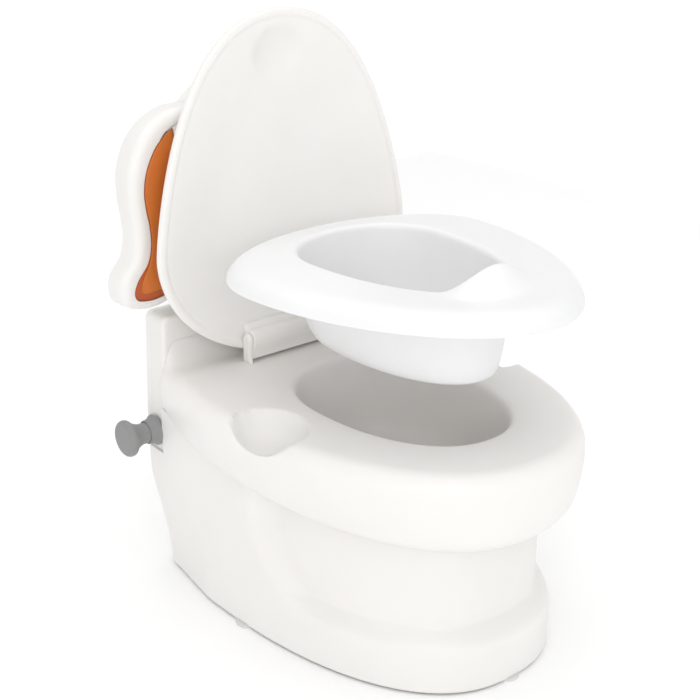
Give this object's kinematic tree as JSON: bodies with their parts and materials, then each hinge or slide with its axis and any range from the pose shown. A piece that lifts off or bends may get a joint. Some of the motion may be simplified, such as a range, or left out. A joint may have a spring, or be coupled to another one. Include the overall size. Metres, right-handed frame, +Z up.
{
  "type": "potty training chair",
  "caption": "Child's potty chair shaped like a small toilet, with a hinged lid, lift-out bowl insert, finger scoops, a slim tank with ears and a side push knob.",
  "frame": {"origin": "on the floor, half way from front to rear and in the middle of the seat", "axes": "+Z up, -Y towards the front of the seat, +Y towards the tank, -X the side with the push knob"},
  "size_m": [0.3367, 0.4, 0.5415],
  "materials": {
    "body": "satin moulded polypropylene, warm white",
    "insert": "glossy moulded polypropylene, cool white",
    "orange": "fine-grained orange plastic",
    "knob": "mid grey satin plastic",
    "rubber": "matt anti-slip rubber, off-white",
    "steel": "plain zinc-plated steel",
    "dark": "dark moulded plastic",
    "board": "green solder mask"
  },
  "bodies": {
    "base": {"base_shell": "body", "battery_door": "body", "cell_lower": "steel", "cell_upper": "steel", "circuit_board": "board", "ear_frame_left": "body", "ear_frame_right": "body", "ear_inlay_left": "orange", "ear_inlay_right": "orange", "foot_pad_front": "rubber", "foot_pad_rear_left": "rubber", "foot_pad_rear_right": "rubber", "foot_pad_side_left": "rubber", "foot_pad_side_right": "rubber", "head_back_cover": "body", "head_panel": "body", "head_screw_lower_left": "steel", "head_screw_lower_right": "steel", "head_screw_upper_left": "steel", "head_screw_upper_right": "steel", "hinge_pin_left": "steel", "hinge_pin_right": "steel", "knob_bushing": "knob", "knob_spring": "steel", "press_switch": "dark", "seat_shell": "body", "sound_unit_case": "dark", "speaker": "dark", "tank_back_cover": "body", "tank_front": "body", "tank_screw_lower_left": "steel", "tank_screw_lower_right": "steel", "tank_screw_upper_left": "steel", "tank_screw_upper_right": "steel"},
    "lid": {"lid": "body"},
    "insert": {"potty_insert": "insert"},
    "knob": {"flush_knob": "knob", "knob_clip": "steel"}
  },
  "joints": [
    {"name": "lid_hinge", "type": "hinge", "parent": "base", "child": "lid", "pos_m": [0, 0.127, 0.243], "axis": [1, 0, 0], "range_deg": [0, 92.7]},
    {"name": "insert_lift", "type": "slide", "parent": "base", "child": "insert", "axis": [0, 0, 1], "range_m": [-0.115, 0]},
    {"name": "knob_press", "type": "slide", "parent": "base", "child": "knob", "axis": [1, 0, 0], "range_m": [0, 0.005], "stiffness_N_per_m": 500, "deforming": ["knob_spring"]}
  ],
  "couplings": [
    {"joint": "insert_lift", "follows": "lid_hinge", "m_per_rad": -0.07107}
  ]
}
